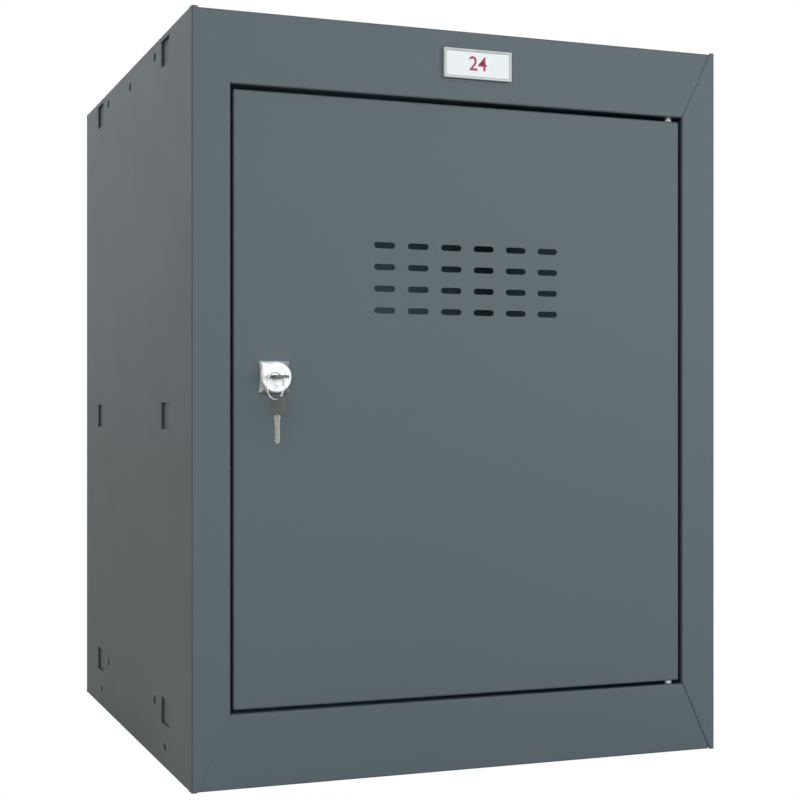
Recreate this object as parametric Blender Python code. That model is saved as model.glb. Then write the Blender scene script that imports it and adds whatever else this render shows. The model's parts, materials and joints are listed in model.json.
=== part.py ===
# Cube locker: a folded sheet steel cabinet with a mitred front frame, one pan door on two hinge pins,
# a cam lock with its key, and a spare key on a wire ring.
#
# Axes: +X to the right, +Y to the back, +Z up, in metres. The origin is the centre of the whole object's footprint,
# on the floor. Depths are measured from the frame's front face: "back" values grow rearwards, "out" values forwards.
import math

import bmesh
import bpy
from mathutils import Matrix, Vector

# ---- driving dimensions -------------------------------------------------------------------------------------
WIDTH = 0.382
DEPTH = 0.3965
HEIGHT = 0.500
SHEET = 0.001
BEND = 0.0006  # radius of a bend at the middle of the sheet
GAP = 0.0003  # between pieces that touch

STILES = {-1: 0.0252, 1: 0.0262}  # widths of the frame's left and right uprights
OPEN_TOP = 0.4518
OPEN_BOTTOM = 0.0489
RAIL_TOP = 0.4987
RAIL_BOTTOM = 0.0008
UPRIGHT_END = 0.0005  # the uprights' ends stop this far short of the side's folded edges
JAMB = 0.0185  # depth of the frame's return into the opening
STOP_LIP_X = -0.157  # free edge of the lip that the door closes against
MITRE_X = 0.1871
MITRE_GAP = 0.00035
FLANGE = 0.016  # inward flanges at the top, bottom and back of the sides
FLANGE_START = 0.0075  # those at the top and bottom begin this far behind the frame's front face
BACKING_X = 0.1887  # middle of the sheet that lies behind the side slots

SLOT_W, SLOT_H = 0.0255, 0.018
SLOT_DEPTHS = (0.0792, 0.3266)
SLOT_HEIGHTS = (0.0383, 0.2395, 0.487)
SIDE_HOLE, PLINTH_HOLE, PLINTH_HOLE_H = 0.0074, 0.0074, 0.0050
SIDE_HOLE_H = 0.0064  # the side's holes are keyholes, narrow at the top
FLANGE_HOLE = 0.0086
TOP_HOLES = ((0.1129, 0.4903), (0.2016, 0.4867), (0.2915, 0.4904))
BASE_HOLES = ((0.1132, 0.0410), (0.2907, 0.0410))
PLINTH_HOLES = ((0.0802, 0.0146), (0.3207, 0.0145))
WALL_HOLE = 0.008
WALL_HOLES = ((-0.12, 0.08), (0.12, 0.08), (-0.12, 0.42), (0.12, 0.42))

DOOR_L, DOOR_R = -0.1635, 0.1630
DOOR_B, DOOR_T = 0.0509, 0.4490
DOOR_FACE = 0.0019  # the door's face lies this far behind the frame's
DOOR_PAN = 0.014
DOOR_LIP = 0.010
VENT_COLS, VENT_ROWS = 6, 4
VENT_PITCH_X, VENT_PITCH_Z = 0.0239, 0.0144
VENT_CENTRE = (-0.0007, 0.3309)
VENT_W, VENT_H = 0.0149, 0.0041

HINGE_X, HINGE_BACK = 0.1566, 0.0065
PIN_D, PIVOT_D, BUSH_D = 0.0040, 0.0028, 0.0060

LOCK_X, LOCK_Z = -0.1368, 0.2645
LOCK_OUT = 0.0056  # the lock's face stands this far in front of the frame
LOCK_SQUARE, LOCK_ROUND = 0.0204, 0.0205
LOCK_DIP = 0.0012  # the square's left and right sides curve in by this much at their middle
BARREL_D, BARREL_FLATS = 0.016, 0.014
PLUG_D = 0.012
CAM_REACH, CAM_W = 0.038, 0.013
CAM_BACK = 0.019

BOW_L, BOW_W, BOW_T, BOW_HOLE = 0.0117, 0.0119, 0.0018, 0.0038
BLADE_L, BLADE_W, BLADE_T = 0.0184, 0.0034, 0.0013
SHOULDER = 0.0004  # the blade is this much wider at each side next to the bow
HOLE_IN = 0.0026  # from the bow's outer end to its hole
RING_R, RING_WIRE = 0.0085, 0.0010
RING_TURN = math.radians(55)  # the ring's plane is turned this far from the key's own direction
RING_CLIMB = math.radians(45)  # how far round the ring the key's hole lies, from the ring's level
SPARE_TURN = math.radians(13)  # how far round the ring the spare key has slid, from the ring's lowest point

LABEL_X, LABEL_Z = 0.0053, 0.4766
LABEL_W, LABEL_H, LABEL_T, BEZEL = 0.0493, 0.0198, 0.0024, 0.0014

# ---- places that follow from them ---------------------------------------------------------------------------
RING_OFF = 0.00596  # from the key's hole to the ring's middle, level
BOW_OUT = LOCK_OUT + 0.0006 + BOW_L
HOLE_OUT = BOW_OUT - HOLE_IN
TO_RING = Vector((-math.sin(RING_TURN), -math.cos(RING_TURN), 0))
WIRE_REACH = RING_WIRE / 2 - 0.000022  # the wire has ten sides, so it ends a little short of its round outline
PROUD = HOLE_OUT + (RING_OFF + RING_R) * math.cos(RING_TURN) + WIRE_REACH
FRONT = -(DEPTH - PROUD) / 2  # world y of the frame's front face


def at(x, back, z):
    """A point from its depth behind the frame's front face."""
    return Vector((x, FRONT + back, z))


# ---- clean start --------------------------------------------------------------------------------------------
for old in list(bpy.data.objects):
    bpy.data.objects.remove(old, do_unlink=True)
for old in list(bpy.data.collections):
    bpy.data.collections.remove(old)

PARTS = bpy.data.collections.new("cube_locker")
TOOLS = bpy.data.collections.new("cutters")
bpy.context.scene.collection.children.link(PARTS)
bpy.context.scene.collection.children.link(TOOLS)


def material(name, colour, roughness, metallic):
    mat = bpy.data.materials.new(name)
    mat.use_nodes = True
    shader = mat.node_tree.nodes["Principled BSDF"]
    shader.inputs["Base Color"].default_value = (*colour, 1)
    shader.inputs["Roughness"].default_value = roughness
    shader.inputs["Metallic"].default_value = metallic
    mat.diffuse_color = (*colour, 1)
    return mat


POWDER = (0.105, 0.137, 0.152)


# ---- shapes -------------------------------------------------------------------------------------------------
def offset_arc(points, radius, steps=4):
    """The points of a path with each inner corner turned into an arc, each with its sideways direction."""
    pts = [Vector(p) for p in points]
    out = []
    for i, p in enumerate(pts):
        if i in (0, len(pts) - 1):
            d = (pts[1] - pts[0] if i == 0 else pts[-1] - pts[-2]).normalized()
            out.append((p, Vector((-d.y, d.x))))
            continue
        a, b = (p - pts[i - 1]).normalized(), (pts[i + 1] - p).normalized()
        turn = math.atan2(a.x * b.y - a.y * b.x, a.dot(b))
        reach = radius * math.tan(abs(turn) / 2)
        side = Vector((-a.y, a.x)) * (1 if turn > 0 else -1)
        centre = p - a * reach + side * radius
        for k in range(steps + 1):
            spin = Matrix.Rotation(turn * k / steps, 2)
            arm = spin @ (-side * radius)
            out.append((centre + arm, spin @ Vector((-a.y, a.x))))
    return out


def folded(points, thickness=SHEET, radius=BEND):
    """The closed outline of a sheet folded along a path through its middle."""
    line = offset_arc(points, radius)
    left = [p + n * thickness / 2 for p, n in line]
    right = [p - n * thickness / 2 for p, n in line]
    return [tuple(p) for p in left + right[::-1]]


def circle(x, y, diameter, count=24):
    return [
        (x + diameter / 2 * math.cos(2 * math.pi * k / count), y + diameter / 2 * math.sin(2 * math.pi * k / count))
        for k in range(count)
    ]


def keyhole(x, y, w, h, steps=9):
    """An oval hole that narrows upwards."""
    r, low, tip = h * 0.37, y - h / 2 + h * 0.37, w * 0.24
    pts = [(x + tip, y + h / 2 - 0.0004), (x + tip * 0.7, y + h / 2), (x - tip * 0.7, y + h / 2), (x - tip, y + h / 2 - 0.0004)]
    return pts + [
        (x + w / 2 * math.cos(a), low + r * math.sin(a))
        for a in (math.radians(145 + 250 * k / (2 * steps)) for k in range(2 * steps + 1))
    ]


def obround(x, y, w, h, steps=7):
    r = h / 2
    ends = []
    for sx, start in ((1, -math.pi / 2), (-1, math.pi / 2)):
        for k in range(steps + 1):
            a = start + math.pi * k / steps
            ends.append((x + sx * (w / 2 - r) + r * math.cos(a), y + r * math.sin(a)))
    return ends


def rectangle(x0, y0, x1, y1):
    return [(x0, y0), (x1, y0), (x1, y1), (x0, y1)]


def double_d(x, y, diameter, flats, steps=10):
    """A circle with a flat at its left and right."""
    r, half = diameter / 2, flats / 2
    reach = math.acos(half / r)
    pts = []
    for start in (reach, math.pi + reach):
        for k in range(steps + 1):
            a = start + (math.pi - 2 * reach) * k / steps
            pts.append((x + r * math.cos(a), y + r * math.sin(a)))
    return pts


PLANES = {
    "XY": Matrix(((1, 0, 0), (0, 1, 0), (0, 0, 1))).to_4x4(),
    "XZ": Matrix(((1, 0, 0), (0, 0, -1), (0, 1, 0))).to_4x4(),
    "YZ": Matrix(((0, 0, 1), (1, 0, 0), (0, 1, 0))).to_4x4(),
}


def outline_mesh(name, loops, low, high, plane):
    """A flat outline in a plane, extruded across that plane from low to high. Depths are behind the front face."""
    curve = bpy.data.curves.new(name, "CURVE")
    curve.dimensions = "2D"
    curve.fill_mode = "BOTH"
    curve.extrude = (high - low) / 2
    for loop in loops:
        spline = curve.splines.new("POLY")
        spline.points.add(len(loop) - 1)
        for point, (u, v) in zip(spline.points, loop):
            point.co = (u, v, 0, 1)
        spline.use_cyclic_u = True
    holder = bpy.data.objects.new(name, curve)
    bpy.context.scene.collection.objects.link(holder)
    bpy.context.view_layer.update()
    mesh = bpy.data.meshes.new_from_object(holder.evaluated_get(bpy.context.evaluated_depsgraph_get()))
    bpy.data.objects.remove(holder, do_unlink=True)
    middle = (low + high) / 2
    shift = {
        "XY": Vector((0, FRONT, middle)),
        "XZ": Vector((0, FRONT + middle, 0)),
        "YZ": Vector((middle, FRONT, 0)),
    }[plane]
    mesh.transform(Matrix.Translation(shift) @ PLANES[plane])
    return closed(mesh)


def closed(mesh):
    bm = bmesh.new()
    bm.from_mesh(mesh)
    bmesh.ops.remove_doubles(bm, verts=bm.verts, dist=1e-6)
    bmesh.ops.recalc_face_normals(bm, faces=bm.faces)
    bm.to_mesh(mesh)
    bm.free()
    mesh.materials.clear()
    return mesh


def box_mesh(name, x0, x1, b0, b1, z0, z1, radius=0.0, segments=3):
    """A box between two x, two depths and two heights, with rounded edges if a radius is given."""
    bm = bmesh.new()
    bmesh.ops.create_cube(bm, size=1)
    bmesh.ops.scale(bm, vec=(x1 - x0, b1 - b0, z1 - z0), verts=bm.verts)
    bmesh.ops.translate(bm, vec=at((x0 + x1) / 2, (b0 + b1) / 2, (z0 + z1) / 2), verts=bm.verts)
    if radius:
        bmesh.ops.bevel(
            bm, geom=bm.edges[:], offset=radius, segments=segments, profile=0.5, affect="EDGES", clamp_overlap=False
        )
    mesh = bpy.data.meshes.new(name)
    bm.to_mesh(mesh)
    bm.free()
    return closed(mesh)


def rod_mesh(name, x, b0, b1, z, diameter, count=32, upright=False):
    """A round bar. It lies along the depth, or stands from height b0 to b1 at depth z if upright."""
    bm = bmesh.new()
    bmesh.ops.create_cone(
        bm, cap_ends=True, segments=count, radius1=diameter / 2, radius2=diameter / 2, depth=abs(b1 - b0)
    )
    if upright:
        bmesh.ops.translate(bm, vec=at(x, z, (b0 + b1) / 2), verts=bm.verts)
    else:
        bmesh.ops.rotate(bm, matrix=Matrix.Rotation(math.pi / 2, 3, "X"), verts=bm.verts)
        bmesh.ops.translate(bm, vec=at(x, (b0 + b1) / 2, z), verts=bm.verts)
    mesh = bpy.data.meshes.new(name)
    bm.to_mesh(mesh)
    bm.free()
    return closed(mesh)


def joined_mesh(name, meshes):
    """Several shapes that don't touch, as one cutter."""
    bm = bmesh.new()
    for mesh in meshes:
        bm.from_mesh(mesh)
    mesh = bpy.data.meshes.new(name)
    bm.to_mesh(mesh)
    bm.free()
    return mesh


def worked(piece, operation, shape):
    """Joins a shape to a piece, or cuts it away."""
    tool = bpy.data.objects.new(f"{piece.name}_{shape.name}", shape)
    TOOLS.objects.link(tool)
    tool.display_type = "WIRE"
    tool.hide_render = True
    mod = piece.modifiers.new(shape.name, "BOOLEAN")
    mod.operation = operation
    mod.solver = "EXACT"
    mod.object = tool


def node(name, mesh, mat, add=(), cut=()):
    """A named piece, with the shapes that are joined to it and those that are cut from it."""
    piece = bpy.data.objects.new(name, mesh)
    PARTS.objects.link(piece)
    mesh.materials.append(mat)
    for shape in (mesh, *add, *cut):
        shape.shade_smooth()
        shape.set_sharp_from_angle(angle=math.radians(35))
    for operation, shapes in (("UNION", add), ("DIFFERENCE", cut)):
        for shape in shapes:
            worked(piece, operation, shape)
    return piece


def mirrored(loop):
    return [(-x, z) for x, z in loop]


def signed(loops, side):
    return [mirrored(loop) if side > 0 else loop for loop in loops]


# ---- the cabinet --------------------------------------------------------------------------------------------
# Each mitre runs from the frame's outer corner to the opening's corner, steeper than 45 degrees because the rails are
# taller than the uprights are wide.
def mitre(top, side):
    """The mitre's outer and inner point, as if at the left of the frame."""
    open_x = WIDTH / 2 - STILES[side]
    if top:
        return Vector((-MITRE_X, 0.4989)), Vector((-open_x, OPEN_TOP))
    return Vector((-MITRE_X, 0.0009)), Vector((-open_x, OPEN_BOTTOM))


def upright_cut(top, side):
    """What is cut off the end of an upright, inside the mitre, as if at the left."""
    outer, inner = mitre(top, side)
    far = 0.502 if top else -0.002
    end = HEIGHT if top else 0.0
    return [
        (-0.1881, far),
        (-0.1881, end),
        (outer.x, outer.y),
        (inner.x, inner.y),
        (-0.150, inner.y),
        (-0.150, far),
    ]


def rail_cut(top, side):
    """What is cut off the end of a rail, outside the mitre, as if at the left."""
    outer, inner = mitre(top, side)
    along = (inner - outer).normalized()
    away = Vector((-along.y, along.x)) if top else Vector((along.y, -along.x))
    a = outer - along * 0.01 + away * MITRE_GAP
    b = inner + along * 0.008 + away * MITRE_GAP
    return [tuple(a), tuple(b), (b.x - 0.05, b.y), (a.x - 0.05, a.y)]


def side_panel(side):
    """A side wall, with the frame's upright, its return and the flanges folded from one sheet."""
    label = "left" if side < 0 else "right"
    half, end = SHEET / 2, JAMB - SHEET / 2
    wall = WIDTH / 2 - half
    open_x = WIDTH / 2 - STILES[side]
    back = DEPTH - SHEET - GAP - half
    path = [
        (-open_x - half, end),
        (-open_x - half, half),
        (-wall, half),
        (-wall, back),
        (-WIDTH / 2 + FLANGE, back),
    ]
    if side < 0:
        path.insert(0, (STOP_LIP_X, end))
    else:
        path[0] = (-open_x - half, JAMB)
    sheet = outline_mesh("sheet", signed([folded(path)], side), 0, HEIGHT, "XY")
    add, cut = [], []
    # the wall's top and bottom edges are folded inwards
    for top in (True, False):
        z = HEIGHT - half if top else half
        start = HEIGHT - 0.0035 if top else 0.0035
        strip = folded([(-wall, start), (-wall, z), (-WIDTH / 2 + FLANGE, z)])
        add.append(outline_mesh(f"edge_{top}", signed([strip], side), FLANGE_START, back, "XZ"))
    trims = []
    for top in (True, False):
        z0, z1 = (HEIGHT - 0.0025, HEIGHT + 0.001) if top else (-0.001, 0.0025)
        trims.append(box_mesh("trim", *sorted((side * 0.1893, side * 0.192)), FLANGE_START + 0.0002, back - 0.002, z0, z1))
    # the upright's ends are mitred, and its return stops short of the rails
    for top in (True, False):
        z0, z1 = (OPEN_TOP - GAP, HEIGHT + 0.002) if top else (-0.002, OPEN_BOTTOM + GAP)
        trims.append(box_mesh("return", *sorted((side * 0.150, side * 0.1675)), SHEET, 0.022, z0, z1))
    for top in (True, False):
        z0, z1 = (HEIGHT - UPRIGHT_END, HEIGHT + 0.002) if top else (-0.002, UPRIGHT_END)
        trims.append(box_mesh("end", *sorted((side * 0.150, side * 0.192)), -0.002, FLANGE_START + 0.0001, z0, z1))
    ends = [
        outline_mesh(f"mitre_{top}", signed([upright_cut(top, side)], side), -0.003, SHEET + 0.0002, "XZ")
        for top in (True, False)
    ]
    holes = [
        rectangle(b - SLOT_W / 2, z - SLOT_H / 2, b + SLOT_W / 2, z + SLOT_H / 2)
        for b in SLOT_DEPTHS
        for z in SLOT_HEIGHTS
    ]
    holes += [keyhole(b, z, SIDE_HOLE, SIDE_HOLE_H) for b, z in TOP_HOLES + BASE_HOLES]
    holes += [obround(b, z, PLINTH_HOLE, PLINTH_HOLE_H) for b, z in PLINTH_HOLES]
    wall_cut = outline_mesh("slots", holes, *sorted((side * 0.1895, side * 0.192)), "YZ")
    first = node(
        f"side_panel_{label}",
        sheet,
        material(f"side_panel_{label}", POWDER, 0.5, 0.0),
        cut=[
            wall_cut,
            joined_mesh("edges", trims[:2]),
            joined_mesh("returns", trims[2:4]),
            joined_mesh("ends", trims[4:]),
            *ends,
        ],
    )
    for shape in add:
        worked(first, "UNION", shape)
    return first


side_left = side_panel(-1)
side_right = side_panel(1)


def cross_panel(name, top):
    """The roof or the floor, with its rail of the frame and its flanges folded from one sheet."""
    half = SHEET / 2
    back = DEPTH - SHEET - GAP - half
    if top:
        rail, deck, lip = OPEN_TOP + half, RAIL_TOP - half, RAIL_TOP - half - 0.0155
        path = [(0.0195, OPEN_TOP + 0.0085), (0.0195, rail), (half, rail), (half, deck), (back, deck), (back, lip)]
        side_path = [(-0.170, deck), (-BACKING_X, deck), (-BACKING_X, 0.4660)]
        holes, z0, z1 = TOP_HOLES, 0.490, 0.501
    else:
        rail, deck, lip = RAIL_BOTTOM + half, OPEN_BOTTOM - half, 0.033
        path = [(0.020, rail), (half, rail), (half, deck), (back, deck), (back, lip)]
        side_path = [(-0.170, deck), (-BACKING_X, deck), (-BACKING_X, 0.0195)]
        holes, z0, z1 = BASE_HOLES, 0.040, 0.051
    outer = BACKING_X + half
    sheet = outline_mesh("sheet", [folded(path)], -outer, outer, "YZ")
    mitres = outline_mesh("mitres", [rail_cut(top, -1), mirrored(rail_cut(top, 1))], -0.002, SHEET + 0.00035, "XZ")
    inner = WIDTH / 2 - FLANGE - GAP
    cuts = []
    for s in (-1, 1):
        # the edges behind the frame give way to the side flanges, and the back flange fits between those of the sides
        cuts.append(box_mesh("edge", *sorted((s * 0.180, s * 0.195)), 0.022, DEPTH, z0, z1))
        cuts.append(box_mesh("rear", *sorted((s * inner, s * 0.195)), DEPTH - 0.0026, DEPTH, z0 - 0.03, z1))
        if top:
            cuts.append(box_mesh("lintel", *sorted((s * (WIDTH / 2 - STILES[s] - GAP), s * 0.195)), SHEET, 0.0215, 0.445, 0.465))
        else:
            cuts.append(box_mesh("foot", *sorted((s * inner, s * 0.195)), SHEET, 0.0215, -0.002, 0.010))
    sides = [
        outline_mesh(f"flange_{s}", signed([folded(side_path)], s), 0.0215, DEPTH - 0.0026, "XZ") for s in (-1, 1)
    ]
    side_holes = joined_mesh(
        "flange_holes",
        [
            outline_mesh("hole", [circle(b, z, FLANGE_HOLE)], *sorted((s * 0.187, s * 0.190)), "YZ")
            for b, z in holes
            for s in (-1, 1)
        ],
    )
    bush = rod_mesh(
        "bush",
        HINGE_X,
        (OPEN_TOP if top else OPEN_BOTTOM) - 0.003,
        (OPEN_TOP if top else OPEN_BOTTOM) + 0.003,
        HINGE_BACK,
        BUSH_D + 2 * GAP,
        28,
        upright=True,
    )
    piece = node(
        name,
        sheet,
        material(name, POWDER, 0.5, 0.0),
        cut=[mitres, joined_mesh("edges", cuts[0::3]), joined_mesh("rears", cuts[1::3]), joined_mesh("lips", cuts[2::3])],
    )
    for shape in sides:
        worked(piece, "UNION", shape)
    for shape in (side_holes, bush):
        worked(piece, "DIFFERENCE", shape)
    return piece


top_panel = cross_panel("top_panel", True)
base_panel = cross_panel("base_panel", False)

back_panel = node(
    "back_panel",
    outline_mesh(
        "sheet",
        [rectangle(-WIDTH / 2 + 0.0008, 0.0010, WIDTH / 2 - 0.0008, HEIGHT - 0.0014)]
        + [circle(x, z, WALL_HOLE) for x, z in WALL_HOLES],
        DEPTH - SHEET,
        DEPTH,
        "XZ",
    ),
    material("back_panel", POWDER, 0.5, 0.0),
)

# The strip that is welded behind the middle slots, its long edges folded inwards to stiffen the wall.
backings = []
for side, label in ((-1, "left"), (1, "right")):
    z = SLOT_HEIGHTS[1]
    strip = folded(
        [
            (-BACKING_X + 0.006, z - 0.028),
            (-BACKING_X, z - 0.028),
            (-BACKING_X, z + 0.028),
            (-BACKING_X + 0.006, z + 0.028),
        ]
    )
    backings.append(
        node(
            f"slot_backing_{label}",
            outline_mesh("strip", signed([strip], side), 0.030, 0.372, "XZ"),
            material(f"slot_backing_{label}", POWDER, 0.5, 0.0),
        )
    )

# ---- hinges: nylon bushes in the lintel and the floor, moulded pins with a domed shoulder on the door --------
def lathe_mesh(name, x, depth, stations, count=28):
    """A turned piece that stands upright, from (radius, height) stations."""
    bm = bmesh.new()
    turns = [2 * math.pi * k / count for k in range(count)]
    rings = [
        [bm.verts.new(at(x + r * math.cos(a), depth + r * math.sin(a), z)) for a in turns] for r, z in stations
    ]
    for low, high in zip(rings, rings[1:]):
        for k in range(count):
            bm.faces.new((low[k], low[(k + 1) % count], high[(k + 1) % count], high[k]))
    bm.faces.new(rings[0])
    bm.faces.new(rings[-1])
    mesh = bpy.data.meshes.new(name)
    bm.to_mesh(mesh)
    bm.free()
    return closed(mesh)


bushes, pins = [], []
for top, label in ((True, "upper"), (False, "lower")):
    face = OPEN_TOP if top else OPEN_BOTTOM
    way = 1 if top else -1
    # the sleeve passes the sheet, and its collar lies on the sheet's hidden side
    sleeve = rod_mesh("sleeve", HINGE_X, face + way * 0.0002, face + way * 0.0060, HINGE_BACK, BUSH_D, 28, upright=True)
    collar = rod_mesh(
        "collar",
        HINGE_X,
        face + way * (SHEET + GAP),
        face + way * (SHEET + GAP + 0.0012),
        HINGE_BACK,
        BUSH_D + 0.0026,
        28,
        upright=True,
    )
    bore = rod_mesh(
        "bore", HINGE_X, face - way * 0.001, face + way * 0.008, HINGE_BACK, PIVOT_D + 2 * GAP, 28, upright=True
    )
    bushes.append(
        node(f"hinge_bush_{label}", sleeve, material(f"hinge_bush_{label}", (0.85, 0.85, 0.83), 0.45, 0.0), [collar], [bore])
    )
    edge = DOOR_T if top else DOOR_B
    seat = edge + way * GAP
    r = PIN_D / 2
    pin = [
        (r + 0.00055, edge - way * (SHEET + 0.0022)),
        (r + 0.00055, edge - way * (SHEET + GAP)),
        (r, edge - way * (SHEET + GAP)),
        (r, seat),
        (r + 0.00045, seat),
        (r + 0.00050, seat + way * 0.0003),
        (r + 0.00040, seat + way * 0.0009),
        (r + 0.00010, seat + way * 0.0015),
        (PIVOT_D / 2, seat + way * 0.0020),
        (PIVOT_D / 2, face + way * 0.0066),
        (PIVOT_D / 2 - 0.0004, face + way * 0.0070),
    ]
    pins.append(
        node(
            f"hinge_pin_{label}",
            lathe_mesh("pin", HINGE_X, HINGE_BACK, pin),
            material(f"hinge_pin_{label}", (0.85, 0.85, 0.83), 0.45, 0.0),
        )
    )

# ---- the label on the top rail ------------------------------------------------------------------------------
def label_outline(inset):
    w, h = LABEL_W / 2 - inset, LABEL_H / 2 - inset
    return [Vector((LABEL_X + u * w, 0, LABEL_Z + v * h)) for u, v in ((-1, -1), (1, -1), (1, 1), (-1, 1))]


def pyramid_mesh(name, outer, inner, out0, out1):
    """A block between two label outlines, one at each distance in front of the frame."""
    bm = bmesh.new()
    rings = [
        [bm.verts.new(p + at(0, -out, 0)) for p in label_outline(inset)] for inset, out in ((inner, out0), (outer, out1))
    ]
    for k in range(4):
        bm.faces.new((rings[0][k], rings[0][(k + 1) % 4], rings[1][(k + 1) % 4], rings[1][k]))
    bm.faces.new(rings[0])
    bm.faces.new(rings[1])
    mesh = bpy.data.meshes.new(name)
    bm.to_mesh(mesh)
    bm.free()
    return closed(mesh)


CARD_FACE = GAP + LABEL_T - 0.0008  # the rim slopes down to the card's face
holder = box_mesh(
    "frame",
    LABEL_X - LABEL_W / 2,
    LABEL_X + LABEL_W / 2,
    -LABEL_T - GAP,
    -GAP,
    LABEL_Z - LABEL_H / 2,
    LABEL_Z + LABEL_H / 2,
    0.0003,
    2,
)
slope = pyramid_mesh("slope", 0.0001, BEZEL, CARD_FACE, GAP + LABEL_T + 0.0003)
seat = box_mesh(
    "seat",
    LABEL_X - LABEL_W / 2 + BEZEL + 0.00001,
    LABEL_X + LABEL_W / 2 - BEZEL - 0.00001,
    -CARD_FACE - 0.0001,
    -CARD_FACE + 0.0009,
    LABEL_Z - LABEL_H / 2 + BEZEL + 0.00001,
    LABEL_Z + LABEL_H / 2 - BEZEL - 0.00001,
)
label_holder = node("label_holder", holder, material("label_holder", (0.78, 0.79, 0.80), 0.3, 0.9), cut=[slope, seat])
label_card = node(
    "label_card",
    box_mesh(
        "card",
        LABEL_X - LABEL_W / 2 + BEZEL + GAP,
        LABEL_X + LABEL_W / 2 - BEZEL - GAP,
        -CARD_FACE,
        -CARD_FACE + 0.0006,
        LABEL_Z - LABEL_H / 2 + BEZEL + GAP,
        LABEL_Z + LABEL_H / 2 - BEZEL - GAP,
    ),
    material("label_card", (0.88, 0.88, 0.87), 0.4, 0.0),
)

# ---- the stop lip's rubber buffers --------------------------------------------------------------------------
buffers = [
    node(
        f"door_buffer_{label}",
        rod_mesh("pad", -0.1601, DOOR_FACE + DOOR_PAN + GAP, JAMB - SHEET - GAP, z, 0.0052, 24),
        material(f"door_buffer_{label}", (0.03, 0.03, 0.03), 0.8, 0.0),
    )
    for label, z in (("lower", 0.085), ("upper", 0.415))
]

# ---- the door -----------------------------------------------------------------------------------------------
door_axis = bpy.data.objects.new("door_axis", None)
PARTS.objects.link(door_axis)
door_axis.location = at(HINGE_X, HINGE_BACK, (DOOR_B + DOOR_T) / 2)

rear = DOOR_FACE + DOOR_PAN
pan = box_mesh("pan", DOOR_L, DOOR_R, DOOR_FACE, rear, DOOR_B, DOOR_T, 0.0015, 3)
hollow = box_mesh(
    "hollow",
    DOOR_L + SHEET,
    DOOR_R - SHEET,
    DOOR_FACE + SHEET,
    rear - SHEET,
    DOOR_B + SHEET,
    DOOR_T - SHEET,
    0.0005,
    2,
)
mouth = box_mesh("mouth", DOOR_L + DOOR_LIP, DOOR_R - DOOR_LIP, rear - 0.0016, rear + 0.002, DOOR_B - 0.002, DOOR_T + 0.002)
vents = [
    obround(
        VENT_CENTRE[0] + (col - (VENT_COLS - 1) / 2) * VENT_PITCH_X,
        VENT_CENTRE[1] + (row - (VENT_ROWS - 1) / 2) * VENT_PITCH_Z,
        VENT_W,
        VENT_H,
    )
    for col in range(VENT_COLS)
    for row in range(VENT_ROWS)
]
lock_hole = double_d(LOCK_X, LOCK_Z, BARREL_D + 2 * GAP, BARREL_FLATS + 2 * GAP)
face_cuts = outline_mesh("face_cuts", vents + [lock_hole], DOOR_FACE - 0.001, DOOR_FACE + SHEET + 0.001, "XZ")
pin_holes = joined_mesh(
    "pin_holes",
    [
        rod_mesh("hole", HINGE_X, z - 0.002, z + 0.002, HINGE_BACK, PIN_D + 2 * GAP, 28, upright=True)
        for z in (DOOR_B + SHEET / 2, DOOR_T - SHEET / 2)
    ],
)
door_panel = node(
    "door_panel", pan, material("door_panel", POWDER, 0.5, 0.0), cut=[hollow, mouth, face_cuts, pin_holes]
)

inside = DOOR_FACE + SHEET + GAP
hat = folded(
    [
        (-0.1140, inside + SHEET / 2),
        (-0.1070, inside + SHEET / 2),
        (-0.1045, inside + 0.0085),
        (-0.0935, inside + 0.0085),
        (-0.0910, inside + SHEET / 2),
        (-0.0840, inside + SHEET / 2),
    ]
)
door_stiffener = node(
    "door_stiffener", outline_mesh("hat", [hat], 0.060, 0.440, "XY"), material("door_stiffener", POWDER, 0.5, 0.0)
)
lock_doubler = node(
    "lock_doubler",
    outline_mesh(
        "plate",
        [rectangle(-0.1580, LOCK_Z - 0.028, -0.1165, LOCK_Z + 0.028), lock_hole],
        inside,
        inside + 0.0015,
        "XZ",
    ),
    material("lock_doubler", POWDER, 0.5, 0.0),
)

# ---- the lock -----------------------------------------------------------------------------------------------
# The head is square where it lies on the door and round at its face. It is a loft between the two, because no simple
# shape makes it.
HEAD_STATIONS = (
    # forward of the door's face, share of the round section, shrink
    (0.0003, 0.0, 0.0),
    (0.0018, 0.0, 0.0),
    (0.0034, 0.35, 0.0),
    (0.0049, 0.69, 0.0),
    (0.0064, 1.0, 0.0),
    (0.0070, 1.0, 0.0003),
    (0.0075, 1.0, 0.0009),
)


def head_mesh(name, count=48):
    bm = bmesh.new()
    rings = []
    for forward, share, shrink in HEAD_STATIONS:
        ring = []
        for k in range(count):
            a = 2 * math.pi * k / count
            u, v = abs(math.cos(a)), abs(math.sin(a))
            reach = LOCK_SQUARE / 2 - (LOCK_DIP * (1 - (v / u) ** 2) if u > v else 0.0)
            square = min(reach / max(u, v), LOCK_SQUARE / 2 * 1.395)
            r = square * (1 - share) + LOCK_ROUND / 2 * share - shrink
            ring.append(bm.verts.new(at(LOCK_X + r * math.cos(a), DOOR_FACE - forward, LOCK_Z + r * math.sin(a))))
        rings.append(ring)
    for low, high in zip(rings, rings[1:]):
        for k in range(count):
            bm.faces.new((low[k], low[(k + 1) % count], high[(k + 1) % count], high[k]))
    bm.faces.new(rings[0])
    bm.faces.new(rings[-1])
    mesh = bpy.data.meshes.new(name)
    bm.to_mesh(mesh)
    bm.free()
    return closed(mesh)


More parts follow.
